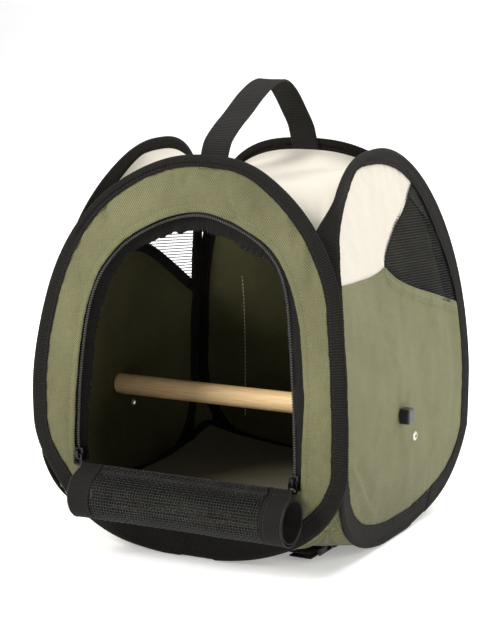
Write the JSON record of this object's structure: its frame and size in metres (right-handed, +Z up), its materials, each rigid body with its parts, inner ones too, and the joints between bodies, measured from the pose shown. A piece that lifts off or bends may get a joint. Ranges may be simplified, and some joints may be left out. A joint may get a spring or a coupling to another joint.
{
  "type": "bird travel carrier",
  "caption": "Fold-up fabric carrier for a small bird: hooped cloth walls, rolled net door with a zip arch, side net windows, a wooden perch and a webbing carry handle.",
  "frame": {"origin": "the centre of the four hoops' footprint, on the plane that they stand on", "axes": "+Z up; the door faces -Y; +X is the right-hand side of someone who faces the door"},
  "size_m": [0.2872, 0.3102, 0.3719],
  "materials": {
    "olive_cloth": "matt woven",
    "cream_cloth": "matt woven",
    "black_tape": "ribbed matt",
    "black_webbing": "ribbed webbing",
    "black_net": "coated net",
    "spring_steel": "satin",
    "board_cover": "matt woven",
    "zip_coil": "satin",
    "zip_metal": "satin black",
    "perch_wood": "sanded",
    "black_plastic": "semi-gloss moulded",
    "eyelet_metal": "polished"
  },
  "bodies": {
    "carrier": {"hoop_tape_front": "black_tape", "hoop_tape_back": "black_tape", "hoop_tape_left": "black_tape", "hoop_tape_right": "black_tape", "hoop_wire_front": "spring_steel", "hoop_wire_back": "spring_steel", "hoop_wire_left": "spring_steel", "hoop_wire_right": "spring_steel", "front_panel": "olive_cloth", "back_panel": "olive_cloth", "back_pocket": "olive_cloth", "side_panel_lower_left": "olive_cloth", "side_panel_lower_right": "olive_cloth", "side_panel_upper_left": "cream_cloth", "side_panel_upper_right": "cream_cloth", "window_net_left": "black_net", "window_net_right": "black_net", "window_hem_left": "black_tape", "window_hem_right": "black_tape", "top_panel": "cream_cloth", "bottom_panel": "olive_cloth", "base_board": "board_cover", "zip_stringer": "zip_coil", "door_facing": "black_tape", "door_sill_tape": "black_tape", "perch_dowel": "perch_wood", "perch_plate_left": "black_plastic", "perch_plate_right": "black_plastic", "eyelet_left": "eyelet_metal", "eyelet_right": "eyelet_metal", "handle_tab_front": "black_webbing", "handle_tab_back": "black_webbing", "buckle_socket": "black_plastic", "fold_strap_front": "black_webbing"},
    "handle": {"carry_handle": "black_webbing"},
    "slider_left": {"zip_slider_left": "zip_metal"},
    "slider_right": {"zip_slider_right": "zip_metal"},
    "pull_left": {"zip_pull_left": "zip_metal"},
    "pull_right": {"zip_pull_right": "zip_metal"},
    "door": {"door_roll": "black_net", "door_cuff_left": "black_tape", "door_cuff_right": "black_tape"},
    "knob_left": {"perch_screw_left": "black_plastic"},
    "knob_right": {"perch_screw_right": "black_plastic"},
    "prong": {"buckle_prong": "black_plastic", "fold_strap_rear": "black_webbing"}
  },
  "joints": [
    {"name": "handle_swing", "type": "hinge", "parent": "carrier", "child": "handle", "pos_m": [0, 0, 0.33], "axis": [0, 1, 0], "range_deg": [-80, 80]},
    {"name": "slider_left_run", "type": "slide", "parent": "carrier", "child": "slider_left", "axis": [0, 0, 1], "range_m": [0, 0.045]},
    {"name": "slider_right_run", "type": "slide", "parent": "carrier", "child": "slider_right", "axis": [0, 0, 1], "range_m": [0, 0.045]},
    {"name": "pull_left_flip", "type": "hinge", "parent": "slider_left", "child": "pull_left", "pos_m": [-0.09715, -0.13605, 0.076], "axis": [-1, 0, 0], "range_deg": [0, 150]},
    {"name": "pull_right_flip", "type": "hinge", "parent": "slider_right", "child": "pull_right", "pos_m": [0.09715, -0.13605, 0.076], "axis": [-1, 0, 0], "range_deg": [0, 150]},
    {"name": "door_lift", "type": "hinge", "parent": "carrier", "child": "door", "pos_m": [0, -0.1355, 0.069], "axis": [-1, 0, 0], "range_deg": [0, 40]},
    {"name": "knob_left_turn", "type": "hinge", "parent": "carrier", "child": "knob_left", "pos_m": [-0.136, -0.013, 0.107], "axis": [1, 0, 0], "continuous": true},
    {"name": "knob_right_turn", "type": "hinge", "parent": "carrier", "child": "knob_right", "pos_m": [0.136, -0.013, 0.107], "axis": [1, 0, 0], "continuous": true},
    {"name": "buckle_release", "type": "slide", "parent": "carrier", "child": "prong", "axis": [0, 1, 0], "range_m": [0, 0.016]}
  ]
}
